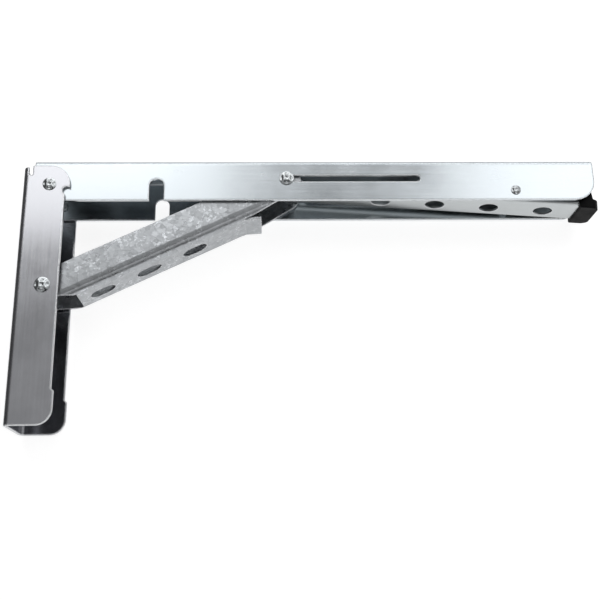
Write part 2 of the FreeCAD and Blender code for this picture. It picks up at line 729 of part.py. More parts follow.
os.makedirs("parts", exist_ok=True)
for item in sub_parts:
    item.Shape.exportStep(f"parts/{item.Label}.step")
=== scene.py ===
import math

import bpy
import numpy as np
from bpy.props import FloatProperty, FloatVectorProperty, PointerProperty
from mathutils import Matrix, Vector


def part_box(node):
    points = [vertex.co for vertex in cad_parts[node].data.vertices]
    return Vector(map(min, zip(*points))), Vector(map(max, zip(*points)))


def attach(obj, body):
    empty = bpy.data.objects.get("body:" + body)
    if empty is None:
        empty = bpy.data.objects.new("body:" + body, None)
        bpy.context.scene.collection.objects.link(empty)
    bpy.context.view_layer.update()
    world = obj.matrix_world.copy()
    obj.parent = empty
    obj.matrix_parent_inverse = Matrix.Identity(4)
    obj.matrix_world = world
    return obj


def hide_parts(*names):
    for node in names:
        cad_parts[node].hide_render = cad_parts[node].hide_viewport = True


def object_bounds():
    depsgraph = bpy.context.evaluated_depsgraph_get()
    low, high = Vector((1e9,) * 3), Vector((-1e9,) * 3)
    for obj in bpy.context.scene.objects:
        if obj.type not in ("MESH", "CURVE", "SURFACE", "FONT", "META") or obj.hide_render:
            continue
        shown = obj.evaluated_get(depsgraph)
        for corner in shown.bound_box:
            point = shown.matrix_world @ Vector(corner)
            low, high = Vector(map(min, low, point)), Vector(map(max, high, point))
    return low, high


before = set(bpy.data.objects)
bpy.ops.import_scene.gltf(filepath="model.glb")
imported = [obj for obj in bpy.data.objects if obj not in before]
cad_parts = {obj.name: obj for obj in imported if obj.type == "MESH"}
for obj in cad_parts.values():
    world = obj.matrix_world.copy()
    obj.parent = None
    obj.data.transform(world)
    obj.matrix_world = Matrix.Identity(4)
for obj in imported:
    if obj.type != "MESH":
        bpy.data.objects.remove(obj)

CAD_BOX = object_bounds()
MM = 0.001
GAUGE = 1.5 * MM  # sheet thickness of the strut
AROUND = 64  # points on each ring of a rivet
EDGE_SAMPLES = 4  # rays that feel for a rounded edge
STRUT_ROLLOVER = 0.6  # the strut's and the lever's edge rollover, as shares of the arms'
LEVER_ROLLOVER = 0.7

bl_info = {
    "name": "Drop Leaf Bracket",
    "version": (1, 0, 0),
    "blender": (4, 5, 0),
    "location": "3D View > Sidebar > Bracket",
    "description": "Finishes a folding bracket: zinc sheets, spangled strut, rivets, spring, grip and stage",
    "category": "Object",
}


def linear(code):
    """An sRGB hex colour as linear red, green and blue."""
    parts = np.array([int(code[spot:spot + 2], 16) for spot in (1, 3, 5)]) / 255
    return tuple(np.where(parts <= 0.04045, parts / 12.92, ((parts + 0.055) / 1.055) ** 2.4))


class BracketFinish(bpy.types.PropertyGroup):
    """Colours, gloss and pattern sizes of the metal and the grip."""

    sheet: FloatVectorProperty(
        name="Table arm", description="Bright zinc of the table arm", subtype="COLOR",
        default=linear("#BAC0C4"), min=0, max=1)
    wall: FloatVectorProperty(
        name="Wall arm", description="Bright zinc of the wall arm, a little darker", subtype="COLOR",
        default=linear("#ABACB0"), min=0, max=1)
    lever: FloatVectorProperty(
        name="Lever sheet", description="Satin zinc of the release lever", subtype="COLOR",
        default=linear("#BFC3C4"), min=0, max=1)
    spangle: FloatVectorProperty(
        name="Galvanised sheet", description="Hot-dipped zinc of the strut", subtype="COLOR",
        default=linear("#AAADB0"), min=0, max=1)
    # Painted highlight: the pale colour mixed into the sheared edges of every sheet, so that they read as
    # bright rims.
    painted_rim_highlight: FloatVectorProperty(
        name="Painted rim highlight", description="Pale colour painted on the sheared edges as a highlight", subtype="COLOR",
        default=linear("#EEF0F2"), min=0, max=1)
    rivet: FloatVectorProperty(
        name="Rivets", description="Plated steel of rivets, pins and spacers", subtype="COLOR",
        default=linear("#BCC0C2"), min=0, max=1)
    wire: FloatVectorProperty(
        name="Spring wire", description="Drawn wire of the lever's spring", subtype="COLOR",
        default=linear("#85878A"), min=0, max=1)
    grip: FloatVectorProperty(
        name="Grip", description="Black polypropylene of the grip", subtype="COLOR",
        default=linear("#070708"), min=0, max=1)
    sheet_dull: FloatProperty(
        name="Table arm roughness", description="How dull the table arm's zinc is", subtype="FACTOR",
        default=0.22, min=0.05, max=0.9)
    wall_dull: FloatProperty(
        name="Wall arm roughness", description="How dull the wall arm's zinc is", subtype="FACTOR",
        default=0.17, min=0.05, max=0.9)
    lever_dull: FloatProperty(
        name="Lever roughness", description="How dull the lever's zinc is", subtype="FACTOR",
        default=0.32, min=0.05, max=0.9)
    streak: FloatProperty(
        name="Rolling streak", description="Width of a rolling streak on the sheet", unit="LENGTH",
        default=1.1 * MM, min=0.1 * MM, max=10 * MM)
    crystal: FloatProperty(
        name="Spangle", description="Size of a zinc crystal on the strut", unit="LENGTH",
        default=2.6 * MM, min=0.5 * MM, max=30 * MM)
    fleck: FloatProperty(
        name="Fleck", description="Size of a bright fleck on the strut", unit="LENGTH",
        default=1.5 * MM, min=0.3 * MM, max=10 * MM)
    rollover: FloatProperty(
        name="Edge rollover", description="Rounding that the press leaves on a sheared edge", unit="LENGTH",
        default=1.3 * MM, min=0.02 * MM, max=1.5 * MM)
    fold_level: FloatProperty(
        name="Fold level", description="Start of the strut's bend, below the line through its pins",
        unit="LENGTH", default=7.6 * MM, min=1 * MM, max=20 * MM)
    fold_strip: FloatProperty(
        name="Fold strip", description="Width of the strip that the press draws in beside the bend",
        unit="LENGTH", default=2.6 * MM, min=0.5 * MM, max=15 * MM)
    fold_lean: FloatProperty(
        name="Fold lean", description="How far that strip leans over at the bend", subtype="ANGLE",
        default=math.radians(18), min=0, max=math.radians(45))


class BracketRivets(bpy.types.PropertyGroup):
    """Sizes of the rivets that the frame doesn't give."""

    crown: FloatProperty(
        name="Crown", description="Height of a rivet head", unit="LENGTH",
        default=1.3 * MM, min=0.2 * MM, max=5 * MM)
    tail: FloatProperty(
        name="Tail", description="Height of a flattened rivet tail", unit="LENGTH",
        default=0.8 * MM, min=0.2 * MM, max=5 * MM)
    tail_edge: FloatProperty(
        name="Tail edge", description="Bevel round a flattened rivet tail", unit="LENGTH",
        default=0.2 * MM, min=0.01 * MM, max=1 * MM)
    dimple: FloatProperty(
        name="Dimple", description="Radius of the dimple that the rivet set leaves", unit="LENGTH",
        default=0.9 * MM, min=0.1 * MM, max=3 * MM)
    dimple_depth: FloatProperty(
        name="Dimple depth", description="Depth of that dimple", unit="LENGTH",
        default=0.55 * MM, min=0, max=2 * MM)
    flute: FloatProperty(
        name="Flute depth", description="Depth of the four flutes that the rivet set leaves", unit="LENGTH",
        default=0.45 * MM, min=0, max=1 * MM)
    hinge_shank: FloatProperty(
        name="Hinge shank", description="Radius of the hinge rivets' shanks", unit="LENGTH",
        default=2.5 * MM, min=0.5 * MM, max=5 * MM)
    slide_shank: FloatProperty(
        name="Slide shank", description="Radius of the slide rivets' shanks", unit="LENGTH",
        default=1.6 * MM, min=0.5 * MM, max=5 * MM)
    foot_shank: FloatProperty(
        name="Foot pin", description="Radius of the strut's foot pin", unit="LENGTH",
        default=2 * MM, min=0.5 * MM, max=5 * MM)
    lever_shank: FloatProperty(
        name="Lever pin", description="Radius of the lever's pin", unit="LENGTH",
        default=1.6 * MM, min=0.5 * MM, max=5 * MM)


class BracketSpring(bpy.types.PropertyGroup):
    """Sizes of the lever's bent wire spring."""

    wire: FloatProperty(
        name="Wire", description="Diameter of the wire", unit="LENGTH",
        default=0.9 * MM, min=0.2 * MM, max=3 * MM)
    bend: FloatProperty(
        name="Bend", description="Radius of the bend round the lever's pin, to the wire's middle",
        unit="LENGTH", default=2.65 * MM, min=1 * MM, max=10 * MM)
    upper: FloatProperty(
        name="Upper leg", description="Length of the leg that bears on the table arm", unit="LENGTH",
        default=20 * MM, min=1 * MM, max=60 * MM)
    lower: FloatProperty(
        name="Lower leg", description="Length of the leg that bears on the lever", unit="LENGTH",
        default=12 * MM, min=1 * MM, max=60 * MM)
    climb: FloatProperty(
        name="Climb", description="Angle at which the upper leg rises", subtype="ANGLE",
        default=math.radians(42.67), min=0, max=math.radians(90))
    fall: FloatProperty(
        name="Fall", description="Angle at which the lower leg falls", subtype="ANGLE",
        default=math.radians(3.8), min=0, max=math.radians(45))


class BracketStage(bpy.types.PropertyGroup):
    """Camera, lamps and backdrop."""

    spot: FloatVectorProperty(
        name="Camera", description="Where the camera stands", subtype="TRANSLATION", unit="LENGTH",
        default=(0.128784, -0.442060, -0.134610))
    turn: FloatVectorProperty(
        name="Camera turn", description="Which way the camera looks", subtype="EULER",
        default=tuple(math.radians(angle) for angle in (107.7173, 0.8599, -1.6106)))
    sensor: FloatProperty(
        name="Sensor", description="Width of the camera's sensor, in millimetres", unit="CAMERA",
        default=36, min=5, max=100)
    lens: FloatProperty(
        name="Lens", description="Focal length on that sensor, in millimetres", unit="CAMERA",
        default=53.661, min=10, max=300)
    lamp: FloatProperty(
        name="Softbox", description="Radiance of the left softbox", default=1.88, min=0, max=20)
    balance: FloatProperty(
        name="Balance", description="The right softbox's share of that", default=0.9, min=0, max=2)
    fill: FloatProperty(
        name="Fill", description="Radiance of the weak softbox between them", default=0.15, min=0, max=20)
    overhead: FloatProperty(
        name="Overhead", description="Radiance of the strip light above", default=2.2, min=0, max=20)
    room: FloatProperty(
        name="Room", description="Radiance of the pale room round the stage", default=0.5, min=0, max=2)
    backdrop: FloatVectorProperty(
        name="Backdrop", description="White sheet behind the bracket", subtype="COLOR",
        default=linear("#A4A4A4"), min=0, max=1)
    glow: FloatProperty(
        name="Backdrop glow", description="White that the sheet shows beyond what the lamps give",
        subtype="FACTOR", default=0.86, min=0, max=1)


def add(tree, kind, links=None, **settings):
    """Adds one shader node. Settings are its own values, links its inputs: a value, or another node's
    output."""
    node = tree.nodes.new("ShaderNode" + kind)
    for name, value in settings.items():
        setattr(node, name, value)
    for name, value in (links or {}).items():
        if isinstance(value, bpy.types.NodeSocket):
            tree.links.new(value, node.inputs[name])
        else:
            node.inputs[name].default_value = value
    return node


def blank(name):
    """A material with an empty node tree."""
    made = bpy.data.materials.new(name)
    made.use_nodes = True
    made.node_tree.nodes.clear()
    return made


def per(length):
    """Pattern scale for one feature each length."""
    return 1 / length


def sheared_rim(tree, paint, painted_rim_highlight, rollover):
    """Normal and colour of a sheet's sheared edges: the press rolls them over, and their colour is lightened
    there to a brighter rim, a painted highlight. The painted rim starts where the rounded normal leaves the
    flat one by about 8 degrees and is at its brightest from about 26 degrees on, which is given as cosines."""
    starts = 0.99
    brightest = 0.9
    edge = add(tree, "Bevel", {"Radius": rollover}, samples=EDGE_SAMPLES).outputs[0]
    flat = add(tree, "NewGeometry").outputs["Normal"]
    turn = add(tree, "VectorMath", {0: edge, 1: flat}, operation="DOT_PRODUCT")
    rim = add(tree, "MapRange", {"Value": turn.outputs["Value"], "From Min": starts, "From Max": brightest})
    # Painted highlight: the rim's colour is mixed towards the pale rim colour.
    shine = add(tree, "MixRGB", {"Fac": rim.outputs[0], "Color1": paint, "Color2": (*painted_rim_highlight, 1)})
    return edge, shine.outputs[0]


def bright_zinc_sheet(name, finish, colour, grain, dull, rollover):
    """Cold-rolled steel, folded and then electroplated with bright zinc. The rolls leave fine streaks along
    the sheet, the bath leaves faint clouds, and both show as soft changes of gloss more than of colour.
    The press rolls the sheared edges over, so they catch the light, and a painted highlight lightens their
    colour to bright rims. Streaks and rims are drawn about twice as wide as real ones, so that they show."""
    streak_length = 55 * MM
    streak_share = 0.45
    streak_depth = 0.03 * MM
    cloud = 21 * MM
    speck = 2.2 * MM
    made = blank(name)
    tree = made.node_tree
    place = add(tree, "TexCoord").outputs["Object"]
    lengths = [finish.streak] * 3
    lengths["XYZ".index(grain)] = streak_length
    run = add(tree, "Mapping", {"Vector": place, "Scale": [per(length) for length in lengths]})
    lines = add(tree, "TexNoise", {"Vector": run.outputs[0], "Scale": 1, "Detail": 4, "Roughness": 0.6})
    clouds = add(tree, "TexNoise", {"Vector": place, "Scale": per(cloud), "Detail": 4, "Roughness": 0.6})
    specks = add(tree, "TexNoise", {"Vector": place, "Scale": per(speck), "Detail": 2})
    tone = add(tree, "Math", {0: lines.outputs["Fac"], 1: streak_share, 2: clouds.outputs["Fac"]},
               operation="MULTIPLY_ADD")
    ramp = add(tree, "MapRange", {"Value": tone.outputs[0], "From Min": 0.45, "From Max": 1,
                                  "To Min": 0.88, "To Max": 1.08})
    paint = add(tree, "MixRGB", {"Fac": 1, "Color1": (*colour, 1), "Color2": ramp.outputs[0]},
                blend_type="MULTIPLY")
    gloss = add(tree, "MapRange", {"Value": tone.outputs[0], "From Min": 0.45, "From Max": 1,
                                   "To Min": dull - 0.04, "To Max": dull + 0.06})
    height = add(tree, "Math", {0: lines.outputs["Fac"], 1: specks.outputs["Fac"]}, operation="MULTIPLY")
    # The sheared edges get a rolled normal and a painted highlight in their colour.
    edge, shine = sheared_rim(tree, paint.outputs[0], finish.painted_rim_highlight, rollover)
    relief = add(tree, "Bump", {"Height": height.outputs[0], "Strength": 0.1, "Distance": streak_depth,
                                "Normal": edge})
    face = add(tree, "BsdfPrincipled", {"Base Color": shine, "Metallic": 1,
                                        "Roughness": gloss.outputs[0], "Normal": relief.outputs[0]})
    add(tree, "OutputMaterial", {"Surface": face.outputs[0]})
    return made


def drawn_in_fold(tree, place, height, finish, across, pin_level, middle):
    """Height of a folded flange with the strip beside its bend drawn in. The level is the distance along
    across, and the strip falls towards the bend as a power of the way into it. Only the outer face falls,
    which lies further from the strut's middle plane than the middle of the sheet does."""
    power = 1.3
    start = pin_level - finish.fold_level
    drop = finish.fold_strip * math.tan(finish.fold_lean) / power
    level = add(tree, "VectorMath", {0: place, 1: across}, operation="DOT_PRODUCT")
    strip = add(tree, "MapRange", {"Value": level.outputs["Value"], "From Min": start + finish.fold_strip,
                                   "From Max": start})
    curve = add(tree, "Math", {0: strip.outputs[0], 1: power}, operation="POWER")
    spot = add(tree, "SeparateXYZ", {0: place})
    depth = add(tree, "Math", {0: spot.outputs["Y"]}, operation="ABSOLUTE")
    outside = add(tree, "Math", {0: depth.outputs[0], 1: middle}, operation="GREATER_THAN")
    fall = add(tree, "Math", {0: outside.outputs[0], 1: -drop}, operation="MULTIPLY")
    return add(tree, "Math", {0: curve.outputs[0], 1: fall.outputs[0], 2: height},
               operation="MULTIPLY_ADD").outputs[0]


def spangled_galvanised_sheet(finish, across, pin_level, middle):
    """Hot-dip galvanised steel. The zinc freezes into small flat crystals, each tilted a little its own way,
    so neighbours flash or go grey, with clusters of bright flecks where the bath ran last. Folding draws the
    flange in beside the bend, so a strip of its outer face leans over, looks down and goes a darker grey."""
    ragged = 2.5 * MM
    ragged_reach = 1.8 * MM
    cluster = 11 * MM
    cluster_share = 0.55
    pit_depth = 0.06 * MM
    tilt = 0.05
    made = blank("spangled_galvanised_sheet")
    tree = made.node_tree
    place = add(tree, "TexCoord").outputs["Object"]
    wobble = add(tree, "TexNoise", {"Vector": place, "Scale": per(ragged), "Detail": 2})
    shift = add(tree, "VectorMath", {0: wobble.outputs["Color"], "Scale": ragged_reach}, operation="SCALE")
    bent = add(tree, "VectorMath", {0: place, 1: shift.outputs[0]}, operation="ADD")
    cells = add(tree, "TexVoronoi", {"Vector": bent.outputs[0], "Scale": per(finish.crystal)})
    seed = add(tree, "SeparateColor", {"Color": cells.outputs["Color"]})
    tone = add(tree, "MapRange", {"Value": seed.outputs[0], "To Min": 0.9, "To Max": 1.06})
    grains = add(tree, "TexNoise", {"Vector": place, "Scale": per(finish.fleck), "Detail": 2,
                                    "Roughness": 0.5})
    drifts = add(tree, "TexNoise", {"Vector": place, "Scale": per(cluster), "Detail": 2})
    bright = add(tree, "Math", {0: drifts.outputs["Fac"], 1: cluster_share, 2: grains.outputs["Fac"]},
                 operation="MULTIPLY_ADD")
    flecks = add(tree, "MapRange", {"Value": bright.outputs[0], "From Min": 0.88, "From Max": 0.98,
                                    "To Min": 0, "To Max": 0.5})
    shade = add(tree, "Math", {0: tone.outputs[0], 1: flecks.outputs[0]}, operation="ADD")
    paint = add(tree, "MixRGB", {"Fac": 1, "Color1": (*finish.spangle, 1), "Color2": shade.outputs[0]},
                blend_type="MULTIPLY")
    gloss = add(tree, "MapRange", {"Value": seed.outputs[1], "To Min": 0.26, "To Max": 0.4})
    lean = add(tree, "VectorMath", {0: cells.outputs["Color"], 1: (0.5, 0.5, 0.5)}, operation="SUBTRACT")
    slope = add(tree, "VectorMath", {0: place, 1: lean.outputs[0]}, operation="DOT_PRODUCT")
    pits = add(tree, "Math", {0: grains.outputs["Fac"], 1: pit_depth}, operation="MULTIPLY")
    height = add(tree, "Math", {0: slope.outputs["Value"], 1: tilt, 2: pits.outputs[0]},
                 operation="MULTIPLY_ADD")
    folded = drawn_in_fold(tree, place, height.outputs[0], finish, across, pin_level, middle)
    # The sheared edges get a rolled normal and a painted highlight in their colour.
    edge, shine = sheared_rim(tree, paint.outputs[0], finish.painted_rim_highlight, STRUT_ROLLOVER * finish.rollover)
    relief = add(tree, "Bump", {"Height": folded, "Strength": 1, "Distance": 1, "Normal": edge})
    face = add(tree, "BsdfPrincipled", {"Base Color": shine, "Metallic": 1,
                                        "Roughness": gloss.outputs[0], "Normal": relief.outputs[0]})
    add(tree, "OutputMaterial", {"Surface": face.outputs[0]})
    return made


def plated_rivet_steel(colour):
    """Cold-headed steel, plated. The heading die leaves a bright, slightly hammered crown."""
    dent = 1.6 * MM
    dent_depth = 0.12 * MM
    made = blank("plated_rivet_steel")
    tree = made.node_tree
    place = add(tree, "TexCoord").outputs["Object"]
    dents = add(tree, "TexNoise", {"Vector": place, "Scale": per(dent), "Detail": 2})
    tone = add(tree, "MapRange", {"Value": dents.outputs["Fac"], "From Min": 0.3, "From Max": 0.7,
                                  "To Min": 0.8, "To Max": 1.05})
    paint = add(tree, "MixRGB", {"Fac": 1, "Color1": (*colour, 1), "Color2": tone.outputs[0]},
                blend_type="MULTIPLY")
    gloss = add(tree, "MapRange", {"Value": dents.outputs["Fac"], "From Min": 0.3, "From Max": 0.7,
                                   "To Min": 0.16, "To Max": 0.28})
    relief = add(tree, "Bump", {"Height": dents.outputs["Fac"], "Strength": 0.25, "Distance": dent_depth})
    face = add(tree, "BsdfPrincipled", {"Base Color": paint.outputs[0], "Metallic": 1,
                                        "Roughness": gloss.outputs[0], "Normal": relief.outputs[0]})
    add(tree, "OutputMaterial", {"Surface": face.outputs[0]})
    return made


def drawn_spring_wire(colour):
    """High-carbon steel wire, drawn through dies: dark and satin, with faint scoring that is drawn coarser
    than the real one, so that it shows."""
    scoring = 0.6 * MM
    made = blank("drawn_spring_wire")
    tree = made.node_tree
    place = add(tree, "TexCoord").outputs["Object"]
    score = add(tree, "TexNoise", {"Vector": place, "Scale": per(scoring), "Detail": 3})
    tone = add(tree, "MapRange", {"Value": score.outputs["Fac"], "To Min": 0.75, "To Max": 1.15})
    paint = add(tree, "MixRGB", {"Fac": 1, "Color1": (*colour, 1), "Color2": tone.outputs[0]},
                blend_type="MULTIPLY")
    gloss = add(tree, "MapRange", {"Value": score.outputs["Fac"], "To Min": 0.25, "To Max": 0.45})
    face = add(tree, "BsdfPrincipled", {"Base Color": paint.outputs[0], "Metallic": 1,
                                        "Roughness": gloss.outputs[0]})
    add(tree, "OutputMaterial", {"Surface": face.outputs[0]})
    return made


def moulded_polypropylene(colour, rounding):
    """Black polypropylene, injection moulded in a spark-eroded tool, which gives a fine even grain and a low
    sheen that is a little shinier in patches, as where fingers press. The grain is drawn coarser than the
    real one, so that it shows."""
    spark_grain = 0.7 * MM
    grain_depth = 0.08 * MM
    patch = 7 * MM
    made = blank("moulded_polypropylene")
    tree = made.node_tree
    place = add(tree, "TexCoord").outputs["Object"]
    grain = add(tree, "TexNoise", {"Vector": place, "Scale": per(spark_grain), "Detail": 3, "Roughness": 0.6})
    patches = add(tree, "TexNoise", {"Vector": place, "Scale": per(patch), "Detail": 2})
    tone = add(tree, "MapRange", {"Value": grain.outputs["Fac"], "To Min": 0.7, "To Max": 1.3})
    paint = add(tree, "MixRGB", {"Fac": 1, "Color1": (*colour, 1), "Color2": tone.outputs[0]},
                blend_type="MULTIPLY")
    gloss = add(tree, "MapRange", {"Value": patches.outputs["Fac"], "From Min": 0.3, "From Max": 0.7,
                                   "To Min": 0.42, "To Max": 0.62})
    edge = add(tree, "Bevel", {"Radius": rounding}, samples=EDGE_SAMPLES)
    relief = add(tree, "Bump", {"Height": grain.outputs["Fac"], "Strength": 0.35, "Distance": grain_depth,
                                "Normal": edge.outputs[0]})
    face = add(tree, "BsdfPrincipled", {"Base Color": paint.outputs[0], "Roughness": gloss.outputs[0],
                                        "IOR": 1.49, "Specular IOR Level": 0.07,
                                        "Normal": relief.outputs[0]})
    add(tree, "OutputMaterial", {"Surface": face.outputs[0]})
    return made


def coat(piece, material):
    """Gives a piece one material."""
    piece.data.materials.clear()
    piece.data.materials.append(material)


def mesh_piece(name, points, faces, body, slot, material, smooth=math.radians(40)):
    """A new piece from points and faces, shaded smooth up to an angle, riding on a body."""
    mesh = bpy.data.meshes.new(name)
    mesh.from_pydata(points, [], faces)
    mesh.polygons.foreach_set("use_smooth", np.ones(len(mesh.polygons), bool))
    mesh.set_sharp_from_angle(angle=smooth)
    piece = bpy.data.objects.new(name, mesh)
    bpy.context.scene.collection.objects.link(piece)
    coat(piece, material)
    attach(piece, body)
    return piece


def capped_grid(rings, start, end):
    """Points and faces of a closed skin: rings of points, one after the other, each end drawn to a point."""
    count, around = rings.shape[:2]
    points = np.concatenate([rings.reshape(-1, 3), start[None], end[None]])
    here = np.arange(around)
    after = np.roll(here, -1)
    step = np.arange(count - 1)[:, None] * around
    side = np.stack([step + here, step + after, step + around + after, step + around + here], -1)
    top = (count - 1) * around
    low = np.stack([after, here, np.full(around, count * around)], -1)
    high = np.stack([top + here, top + after, np.full(around, count * around + 1)], -1)
    return points, side.reshape(-1, 4).tolist() + low.tolist() + high.tolist()


def turned(radius, along, angle, spot):
    """Points and faces of a solid turned about Y through a spot. On each ring x = radius cos a and
    z = radius sin a, and y is given for each ring and angle. The first and the last ring close to a point."""
    rings = np.stack([
        spot[0] + radius[1:-1, None] * np.cos(angle),
        along[1:-1],
        spot[1] + radius[1:-1, None] * np.sin(angle),
    ], -1)
    start = np.array([spot[0], along[0].mean(), spot[1]])
    end = np.array([spot[0], along[-1].mean(), spot[1]])
    return capped_grid(rings, start, end)


def set_head(radius, sizes, angle, steps=28):
    """Rings of a rivet head from its middle out to its rim, as radius and height over its seat. The dome is a
    cap, crown less the square of the radius, down to an upright rim of a fifth of the crown. The rivet set
    presses a bell-shaped dimple into its middle and four flutes round it, deep as cos squared of 2a and as a
    bell over the radius. The shares are of the crown for the rim, and of the radius for the rest."""
    rim_share = 0.2
    dimple_share = 0.36
    flute_place = 0.66
    flute_width = 0.2
    out = radius * np.linspace(0, 1, steps)
    share = out / radius
    dome = sizes.crown * (1 - (1 - rim_share) * share ** 2)
    dimple = sizes.dimple_depth * np.exp(-(out / min(sizes.dimple, dimple_share * radius)) ** 2)
    flute = sizes.flute * np.exp(-((share - flute_place) / flute_width) ** 2)
    height = (dome - dimple)[:, None] - flute[:, None] * np.cos(2 * angle) ** 2
    return np.append(out, radius), np.concatenate([height, np.zeros((1, len(angle)))])


def headed_pin(radius, shank, outer, sizes, angle):
    """Rings of a pin with a head at both ends, as radius and level along Y."""
    out, height = set_head(radius, sizes, angle)
    seat = outer - sizes.crown
    shaft = np.repeat([[seat], [-seat]], len(angle), 1)
    return (np.concatenate([out, [shank, shank], out[::-1]]),
            np.concatenate([seat + height, shaft, -seat - height[::-1]]))


def headed_rivet(radius, shank, outer, inner, tailed, sizes, angle):
    """Rings of a rivet from its head to its inner end, as radius and level along Y. The inner end is plain,
    or crushed to a tail as wide as the head, with a bevelled edge."""
    out, height = set_head(radius, sizes, angle)
    seat = outer - sizes.crown
    foot = [(shank, seat)]
    if tailed:
        crush = inner + sizes.tail
        foot += [(shank, crush), (radius, crush)]
        foot += [(radius, inner + sizes.tail_edge), (radius - sizes.tail_edge, inner)]
    else:
        foot += [(shank, inner)]
    foot = np.array(foot + [(0, inner)])
    return (np.concatenate([out, foot[:, 0]]),
            np.concatenate([seat + height, np.repeat(foot[:, 1:], len(angle), 1)]))


def bent_wire(spring, pivot, around=16, steps=40):
    """Points and faces of the lever's spring: a circle of the wire's radius carried along its middle line,
    which runs down the upper leg, round the bend about the pivot, and out along the lower leg."""
    spread = spring.climb + spring.fall
    angle = np.linspace(math.pi / 2, 1.5 * math.pi - spread, steps)
    bend = spring.bend * np.stack([np.cos(angle), np.sin(angle)], -1)
    upper = bend[:1] + [(spring.upper, 0)]
    lower = bend[-1:] + [(spring.lower * math.cos(spread), -spring.lower * math.sin(spread))]
    flat = np.concatenate([upper, bend, lower])
    away = np.concatenate([bend[:1], bend, bend[-1:]]) / spring.bend
    cos, sin = math.cos(spring.climb), math.sin(spring.climb)
    lift = np.array([(cos, 0, sin), (-sin, 0, cos)])
    middle = np.array(pivot) + flat @ lift
    ring = np.arange(around) * 2 * math.pi / around
    outward = np.cos(ring)[None, :, None] * (away @ lift)[:, None]
    sideways = np.sin(ring)[None, :, None] * np.array([0, 1, 0])
    rings = middle[:, None] + spring.wire / 2 * (outward + sideways)
    return capped_grid(rings, middle[0], middle[-1])


class BRACKET_OT_dress_arms(bpy.types.Operator):
    """Gives the two arms their bright zinc"""

    bl_idname = "bracket.dress_arms"
    bl_label = "Dress Both Arms"

    def execute(self, context):
        finish = context.scene.bracket_finish
        for node, colour, grain, dull in (
                ("wall_arm", finish.wall, "Z", finish.wall_dull),
                ("table_arm", finish.sheet, "X", finish.sheet_dull)):
            zinc = bright_zinc_sheet(f"bright_zinc_{node}", finish, colour, grain, dull, finish.rollover)
            coat(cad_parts[node], zinc)
        return {"FINISHED"}


class BRACKET_OT_dress_strut(bpy.types.Operator):
    """Gives the strut its spangled galvanising"""

    bl_idname = "bracket.dress_strut"
    bl_label = "Dress Strut"

    def execute(self, context):
        low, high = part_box("strut_foot_pin")
        foot = (low + high) / 2
        low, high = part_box("slide_rivet_left")
        run = (low + high) / 2 - foot
        across = Vector((-run.z, 0, run.x)).normalized()
        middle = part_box("strut")[1].y - GAUGE / 2
        zinc = spangled_galvanised_sheet(context.scene.bracket_finish, across, foot.dot(across), middle)
        coat(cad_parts["strut"], zinc)
        return {"FINISHED"}


class BRACKET_OT_dress_lever(bpy.types.Operator):
    """Gives the release lever its satin zinc and its grip the moulded black"""

    bl_idname = "bracket.dress_lever"
    bl_label = "Dress Release Lever"

    def execute(self, context):
        finish = context.scene.bracket_finish
        zinc = bright_zinc_sheet("satin_zinc_lever", finish, finish.lever, "X", finish.lever_dull,
                                 LEVER_ROLLOVER * finish.rollover)
        coat(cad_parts["release_lever"], zinc)
        coat(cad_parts["lever_grip"], moulded_polypropylene(finish.grip, finish.rollover))
        return {"FINISHED"}


class BRACKET_OT_turn_rivets(bpy.types.Operator):
    """Turns the domed rivets and pins in place of the plain ones, and plates the spacers and tails"""

    bl_idname = "bracket.turn_rivets"
    bl_label = "Turn Rivets"

    def execute(self, context):
        sizes = context.scene.bracket_rivets
        steel = plated_rivet_steel(context.scene.bracket_finish.rivet)
        angle = np.arange(AROUND) * 2 * math.pi / AROUND
        for node, body, shank, ends in (
                ("hinge_rivet_left", "wall_arm", sizes.hinge_shank, "tail"),
                ("hinge_rivet_right", "wall_arm", sizes.hinge_shank, "tail"),
                ("slide_rivet_left", "slide_rivets", sizes.slide_shank, "plain"),
                ("slide_rivet_right", "slide_rivets", sizes.slide_shank, "plain"),
                ("strut_foot_pin", "wall_arm", sizes.foot_shank, "head"),
                ("lever_pin", "table_arm", sizes.lever_shank, "head")):
            low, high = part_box(node)
            radius = (high.x - low.x) / 2
            spot = ((low.x + high.x) / 2, (low.z + high.z) / 2)
            outer = max(-low.y, high.y)
            inner = min(abs(low.y), abs(high.y))
            if ends == "head":
                rim, level = headed_pin(radius, shank, outer, sizes, angle)
            else:
                rim, level = headed_rivet(radius, shank, outer, inner, ends == "tail", sizes, angle)
            # A rivet on the -Y side is mirrored. Its rings run the other way, so that its faces point out.
            if high.y < 0:
                rim, level = rim[::-1], -level[::-1]
            piece = mesh_piece(f"domed_{node}", *turned(rim, level, angle, spot), body, "rivet_steel", steel)
            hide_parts(node)
        for node in ("foot_spacer_left", "foot_spacer_right", "lever_spacer_left", "lever_spacer_right",
                     "strut_rivet_tail_left", "strut_rivet_tail_right"):
            coat(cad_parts[node], steel)
        return {"FINISHED"}


class BRACKET_OT_bend_spring(bpy.types.Operator):
    """Bends the lever's spring from round wire in place of the eight-sided one"""

    bl_idname = "bracket.bend_spring"
    bl_label = "Bend Lever Spring"

    def execute(self, context):
        low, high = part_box("lever_pin")
        pivot = (low + high) / 2
        wire = drawn_spring_wire(context.scene.bracket_finish.wire)
        piece = mesh_piece("round_wire_spring", *bent_wire(context.scene.bracket_spring, pivot), "table_arm",
                           "spring_wire", wire)
        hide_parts("lever_spring")
        return {"FINISHED"}


